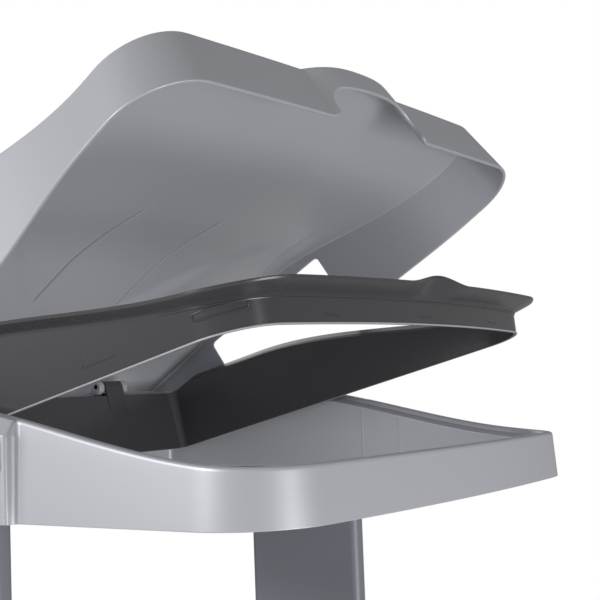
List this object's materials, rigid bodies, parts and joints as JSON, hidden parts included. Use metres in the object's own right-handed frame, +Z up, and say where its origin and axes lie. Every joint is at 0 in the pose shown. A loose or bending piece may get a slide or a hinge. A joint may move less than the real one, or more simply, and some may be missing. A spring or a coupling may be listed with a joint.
{
  "type": "trash bag holder",
  "caption": "Free-standing trash bag holder: base tray, two flat columns, a top frame, a hinged ring that clamps the bag's mouth and a hinged lid.",
  "frame": {"origin": "centre of the part's footprint, on the floor", "axes": "+Z up, the front and the finger grip face -Y, +X to the right as seen from the front"},
  "size_m": [0.452, 0.4561, 1.0708],
  "materials": {
    "silver_plastic": "satin silver-grey moulded plastic",
    "dark_plastic": "satin anthracite moulded plastic",
    "column_plastic": "satin blue-grey extruded plastic",
    "foot_rubber": "matt",
    "steel": "zinc plated"
  },
  "bodies": {
    "stand": {"base_tray": "silver_plastic", "foot_front_left": "foot_rubber", "foot_front_right": "foot_rubber", "foot_rear_left": "foot_rubber", "foot_rear_right": "foot_rubber", "left_column_lower": "column_plastic", "left_column_upper": "column_plastic", "left_column_joiner": "dark_plastic", "right_column_lower": "column_plastic", "right_column_upper": "column_plastic", "right_column_joiner": "dark_plastic", "base_screws": "steel", "joiner_screws": "steel", "frame_screws": "steel", "top_frame": "silver_plastic", "left_sleeve_cover": "silver_plastic", "right_sleeve_cover": "silver_plastic", "ring_hinge_pin_left": "steel", "ring_hinge_pin_right": "steel", "lid_hinge_pin_left": "steel", "lid_hinge_pin_right": "steel"},
    "clamp_ring": {"clamp_ring": "dark_plastic"},
    "lid": {"lid": "silver_plastic"}
  },
  "joints": [
    {"name": "lid_hinge", "type": "hinge", "parent": "stand", "child": "lid", "pos_m": [0, 0.174, 0.83], "axis": [-1, 0, 0], "range_deg": [-34, 44]},
    {"name": "ring_hinge", "type": "hinge", "parent": "stand", "child": "clamp_ring", "pos_m": [0, 0.18, 0.869], "axis": [-1, 0, 0], "range_deg": [-14, 19]}
  ],
  "couplings": [
    {"joint": "ring_hinge", "follows": "lid_hinge", "ratio": 0.41176}
  ]
}
